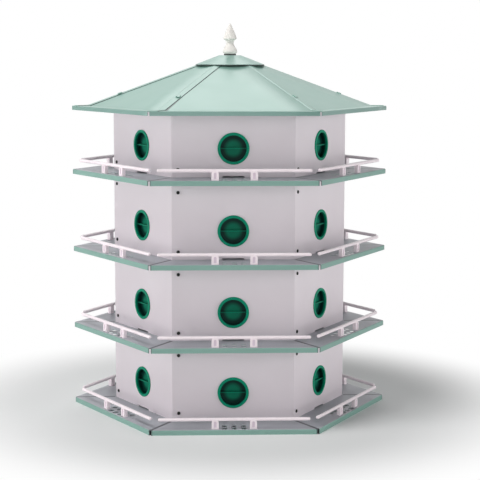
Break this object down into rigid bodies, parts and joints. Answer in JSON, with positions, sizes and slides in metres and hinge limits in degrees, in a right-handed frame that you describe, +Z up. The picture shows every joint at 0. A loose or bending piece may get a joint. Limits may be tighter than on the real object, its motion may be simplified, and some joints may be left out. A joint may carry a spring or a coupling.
{
  "type": "purple martin birdhouse",
  "caption": "Hexagonal multi-storey sheet-metal birdhouse for purple martins, with porches and rails, pull-out door plugs, a low peaked roof with a finial, and a socket for its pole.",
  "frame": {"origin": "middle of the foot plane, at the lower edges of the bottom floor pan's lips", "axes": "+Z up along the centre rod, the front side and its doors face -Y, +X to their right"},
  "size_m": [0.683, 0.594, 0.8319],
  "materials": {
    "green_enamelled_aluminium": "baked gloss enamel on rolled sheet",
    "white_enamelled_aluminium": "baked semi-gloss enamel on rolled sheet",
    "mill_finish_aluminium": "mill finish sheet",
    "cast_aluminium": "as cast, bore machined",
    "zinc_plated_steel": "bright zinc plate",
    "black_zinc_plated_steel": "black zinc plate",
    "white_moulded_plastic": "injection moulded, gloss",
    "green_moulded_plastic": "injection moulded, gloss",
    "black_rubber": "die-cut sheet"
  },
  "bodies": {
    "house": {"finial": "white_moulded_plastic", "seal_washer": "black_rubber", "roof_cap": "green_enamelled_aluminium", "roof_panel_1": "green_enamelled_aluminium", "roof_panel_2": "green_enamelled_aluminium", "roof_panel_3": "green_enamelled_aluminium", "roof_panel_4": "green_enamelled_aluminium", "roof_panel_5": "green_enamelled_aluminium", "roof_panel_6": "green_enamelled_aluminium", "floor_pan_1": "green_enamelled_aluminium", "floor_pan_2": "green_enamelled_aluminium", "floor_pan_3": "green_enamelled_aluminium", "floor_pan_4": "green_enamelled_aluminium", "wall_panels_1": "white_enamelled_aluminium", "wall_panels_2": "white_enamelled_aluminium", "wall_panels_3": "white_enamelled_aluminium", "wall_panels_4": "white_enamelled_aluminium", "room_dividers_1": "mill_finish_aluminium", "room_dividers_2": "mill_finish_aluminium", "room_dividers_3": "mill_finish_aluminium", "room_dividers_4": "mill_finish_aluminium", "porch_rails_1": "white_moulded_plastic", "porch_rails_2": "white_moulded_plastic", "porch_rails_3": "white_moulded_plastic", "porch_rails_4": "white_moulded_plastic", "wall_screws_1": "black_zinc_plated_steel", "wall_screws_2": "black_zinc_plated_steel", "wall_screws_3": "black_zinc_plated_steel", "wall_screws_4": "black_zinc_plated_steel", "centre_rod": "zinc_plated_steel", "rod_nut": "zinc_plated_steel", "pole_socket": "cast_aluminium", "socket_bolts": "zinc_plated_steel", "socket_nuts": "zinc_plated_steel"},
    "plug_1_1": {"door_plug_1_1": "green_moulded_plastic"},
    "plug_1_2": {"door_plug_1_2": "green_moulded_plastic"},
    "plug_1_3": {"door_plug_1_3": "green_moulded_plastic"},
    "plug_1_4": {"door_plug_1_4": "green_moulded_plastic"},
    "plug_1_5": {"door_plug_1_5": "green_moulded_plastic"},
    "plug_1_6": {"door_plug_1_6": "green_moulded_plastic"},
    "plug_2_1": {"door_plug_2_1": "green_moulded_plastic"},
    "plug_2_2": {"door_plug_2_2": "green_moulded_plastic"},
    "plug_2_3": {"door_plug_2_3": "green_moulded_plastic"},
    "plug_2_4": {"door_plug_2_4": "green_moulded_plastic"},
    "plug_2_5": {"door_plug_2_5": "green_moulded_plastic"},
    "plug_2_6": {"door_plug_2_6": "green_moulded_plastic"},
    "plug_3_1": {"door_plug_3_1": "green_moulded_plastic"},
    "plug_3_2": {"door_plug_3_2": "green_moulded_plastic"},
    "plug_3_3": {"door_plug_3_3": "green_moulded_plastic"},
    "plug_3_4": {"door_plug_3_4": "green_moulded_plastic"},
    "plug_3_5": {"door_plug_3_5": "green_moulded_plastic"},
    "plug_3_6": {"door_plug_3_6": "green_moulded_plastic"},
    "plug_4_1": {"door_plug_4_1": "green_moulded_plastic"},
    "plug_4_2": {"door_plug_4_2": "green_moulded_plastic"},
    "plug_4_3": {"door_plug_4_3": "green_moulded_plastic"},
    "plug_4_4": {"door_plug_4_4": "green_moulded_plastic"},
    "plug_4_5": {"door_plug_4_5": "green_moulded_plastic"},
    "plug_4_6": {"door_plug_4_6": "green_moulded_plastic"}
  },
  "joints": [
    {"name": "plug_1_1_pull", "type": "slide", "parent": "house", "child": "plug_1_1", "axis": [0, -1, 0], "range_m": [0, 0.11]},
    {"name": "plug_1_2_pull", "type": "slide", "parent": "house", "child": "plug_1_2", "axis": [0.866, -0.5, 0], "range_m": [0, 0.11]},
    {"name": "plug_1_3_pull", "type": "slide", "parent": "house", "child": "plug_1_3", "axis": [0.866, 0.5, 0], "range_m": [0, 0.11]},
    {"name": "plug_1_4_pull", "type": "slide", "parent": "house", "child": "plug_1_4", "axis": [0, 1, 0], "range_m": [0, 0.11]},
    {"name": "plug_1_5_pull", "type": "slide", "parent": "house", "child": "plug_1_5", "axis": [-0.866, 0.5, 0], "range_m": [0, 0.11]},
    {"name": "plug_1_6_pull", "type": "slide", "parent": "house", "child": "plug_1_6", "axis": [-0.866, -0.5, 0], "range_m": [0, 0.11]},
    {"name": "plug_2_1_pull", "type": "slide", "parent": "house", "child": "plug_2_1", "axis": [0, -1, 0], "range_m": [0, 0.11]},
    {"name": "plug_2_2_pull", "type": "slide", "parent": "house", "child": "plug_2_2", "axis": [0.866, -0.5, 0], "range_m": [0, 0.11]},
    {"name": "plug_2_3_pull", "type": "slide", "parent": "house", "child": "plug_2_3", "axis": [0.866, 0.5, 0], "range_m": [0, 0.11]},
    {"name": "plug_2_4_pull", "type": "slide", "parent": "house", "child": "plug_2_4", "axis": [0, 1, 0], "range_m": [0, 0.11]},
    {"name": "plug_2_5_pull", "type": "slide", "parent": "house", "child": "plug_2_5", "axis": [-0.866, 0.5, 0], "range_m": [0, 0.11]},
    {"name": "plug_2_6_pull", "type": "slide", "parent": "house", "child": "plug_2_6", "axis": [-0.866, -0.5, 0], "range_m": [0, 0.11]},
    {"name": "plug_3_1_pull", "type": "slide", "parent": "house", "child": "plug_3_1", "axis": [0, -1, 0], "range_m": [0, 0.11]},
    {"name": "plug_3_2_pull", "type": "slide", "parent": "house", "child": "plug_3_2", "axis": [0.866, -0.5, 0], "range_m": [0, 0.11]},
    {"name": "plug_3_3_pull", "type": "slide", "parent": "house", "child": "plug_3_3", "axis": [0.866, 0.5, 0], "range_m": [0, 0.11]},
    {"name": "plug_3_4_pull", "type": "slide", "parent": "house", "child": "plug_3_4", "axis": [0, 1, 0], "range_m": [0, 0.11]},
    {"name": "plug_3_5_pull", "type": "slide", "parent": "house", "child": "plug_3_5", "axis": [-0.866, 0.5, 0], "range_m": [0, 0.11]},
    {"name": "plug_3_6_pull", "type": "slide", "parent": "house", "child": "plug_3_6", "axis": [-0.866, -0.5, 0], "range_m": [0, 0.11]},
    {"name": "plug_4_1_pull", "type": "slide", "parent": "house", "child": "plug_4_1", "axis": [0, -1, 0], "range_m": [0, 0.11]},
    {"name": "plug_4_2_pull", "type": "slide", "parent": "house", "child": "plug_4_2", "axis": [0.866, -0.5, 0], "range_m": [0, 0.11]},
    {"name": "plug_4_3_pull", "type": "slide", "parent": "house", "child": "plug_4_3", "axis": [0.866, 0.5, 0], "range_m": [0, 0.11]},
    {"name": "plug_4_4_pull", "type": "slide", "parent": "house", "child": "plug_4_4", "axis": [0, 1, 0], "range_m": [0, 0.11]},
    {"name": "plug_4_5_pull", "type": "slide", "parent": "house", "child": "plug_4_5", "axis": [-0.866, 0.5, 0], "range_m": [0, 0.11]},
    {"name": "plug_4_6_pull", "type": "slide", "parent": "house", "child": "plug_4_6", "axis": [-0.866, -0.5, 0], "range_m": [0, 0.11]}
  ]
}
